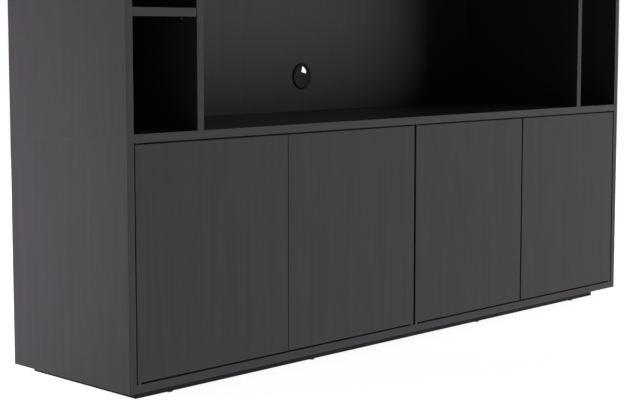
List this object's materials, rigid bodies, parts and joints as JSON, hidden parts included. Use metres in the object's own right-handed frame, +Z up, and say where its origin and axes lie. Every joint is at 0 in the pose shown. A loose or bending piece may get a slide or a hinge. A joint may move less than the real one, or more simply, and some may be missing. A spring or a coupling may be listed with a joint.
{
  "type": "tv stand",
  "caption": "Wall unit for a television: a base cabinet with flush push-to-open doors and an open upper unit with a wide niche, narrow side columns and a cable grommet.",
  "frame": {"origin": "on the floor, in the middle of the footprint", "axes": "+X to the right as seen from the front, +Y from the front to the wall, +Z up"},
  "size_m": [2, 0.46, 2.1],
  "materials": {
    "carcass_wood": "matt black grained foil",
    "door_wood": "matt black grained foil",
    "back_wood": "matt black",
    "plinth_wood": "matt black",
    "black_plastic": "moulded",
    "grommet_plastic": "moulded",
    "pivot_brass": "turned",
    "zinc_steel": "zinc plated",
    "black_zinc": "black zinc plated",
    "beech": "raw"
  },
  "bodies": {
    "carcass": {"base_back": "back_wood", "base_bottom": "carcass_wood", "base_divider": "carcass_wood", "base_dowels": "beech", "base_shelf_left": "carcass_wood", "base_shelf_right": "carcass_wood", "base_shelf_supports": "black_zinc", "base_side_left": "carcass_wood", "base_side_right": "carcass_wood", "base_top": "carcass_wood", "bracket_screws": "zinc_steel", "column_back_left": "back_wood", "column_back_right": "back_wood", "column_shelf_left_1": "carcass_wood", "column_shelf_left_2": "carcass_wood", "column_shelf_left_3": "carcass_wood", "column_shelf_right": "carcass_wood", "column_shelf_supports": "black_zinc", "glides": "black_plastic", "grommet_ring": "grommet_plastic", "latch_housings": "black_plastic", "module_screws": "zinc_steel", "niche_back": "back_wood", "niche_top": "carcass_wood", "pivot_leaves_bottom": "black_zinc", "pivot_leaves_top": "black_zinc", "pivot_screws": "black_zinc", "pivot_washers": "black_plastic", "plinth_back": "plinth_wood", "plinth_cross": "plinth_wood", "plinth_front": "plinth_wood", "plinth_left": "plinth_wood", "plinth_right": "plinth_wood", "top_back": "back_wood", "top_partition_left": "carcass_wood", "top_partition_right": "carcass_wood", "upper_bottom": "carcass_wood", "upper_divider_left": "carcass_wood", "upper_divider_right": "carcass_wood", "upper_dowels": "beech", "upper_side_left": "carcass_wood", "upper_side_right": "carcass_wood", "upper_top": "carcass_wood", "wall_brackets": "zinc_steel"},
    "grommet_cap": {"grommet_cap": "grommet_plastic"},
    "door_1": {"door_1": "door_wood", "door_1_fittings": "pivot_brass"},
    "latch_plunger_1": {"latch_plunger_1": "black_plastic"},
    "door_2": {"door_2": "door_wood", "door_2_fittings": "pivot_brass"},
    "latch_plunger_2": {"latch_plunger_2": "black_plastic"},
    "door_3": {"door_3": "door_wood", "door_3_fittings": "pivot_brass"},
    "latch_plunger_3": {"latch_plunger_3": "black_plastic"},
    "door_4": {"door_4": "door_wood", "door_4_fittings": "pivot_brass"},
    "latch_plunger_4": {"latch_plunger_4": "black_plastic"}
  },
  "joints": [
    {"name": "door_1_swing", "type": "hinge", "parent": "carcass", "child": "door_1", "pos_m": [-0.971, -0.2235, 0.328], "axis": [0, 0, -1], "range_deg": [0, 100]},
    {"name": "door_2_swing", "type": "hinge", "parent": "carcass", "child": "door_2", "pos_m": [-0.01275, -0.2235, 0.328], "axis": [0, 0, 1], "range_deg": [0, 90]},
    {"name": "door_3_swing", "type": "hinge", "parent": "carcass", "child": "door_3", "pos_m": [0.00725, -0.2235, 0.328], "axis": [0, 0, -1], "range_deg": [0, 90]},
    {"name": "door_4_swing", "type": "hinge", "parent": "carcass", "child": "door_4", "pos_m": [0.9695, -0.2235, 0.328], "axis": [0, 0, 1], "range_deg": [0, 100]},
    {"name": "latch_1_travel", "type": "slide", "parent": "carcass", "child": "latch_plunger_1", "axis": [0, -1, 0], "range_m": [0, 0.038]},
    {"name": "latch_2_travel", "type": "slide", "parent": "carcass", "child": "latch_plunger_2", "axis": [0, -1, 0], "range_m": [0, 0.038]},
    {"name": "latch_3_travel", "type": "slide", "parent": "carcass", "child": "latch_plunger_3", "axis": [0, -1, 0], "range_m": [0, 0.038]},
    {"name": "latch_4_travel", "type": "slide", "parent": "carcass", "child": "latch_plunger_4", "axis": [0, -1, 0], "range_m": [0, 0.038]},
    {"name": "grommet_cap_turn", "type": "hinge", "parent": "carcass", "child": "grommet_cap", "pos_m": [0, 0.2085, 0.728], "axis": [0, -1, 0], "continuous": true}
  ],
  "couplings": [
    {"joint": "latch_1_travel", "follows": "door_1_swing", "m_per_rad": 0.0217},
    {"joint": "latch_2_travel", "follows": "door_2_swing", "m_per_rad": 0.0241},
    {"joint": "latch_3_travel", "follows": "door_3_swing", "m_per_rad": 0.0241},
    {"joint": "latch_4_travel", "follows": "door_4_swing", "m_per_rad": 0.0217}
  ]
}
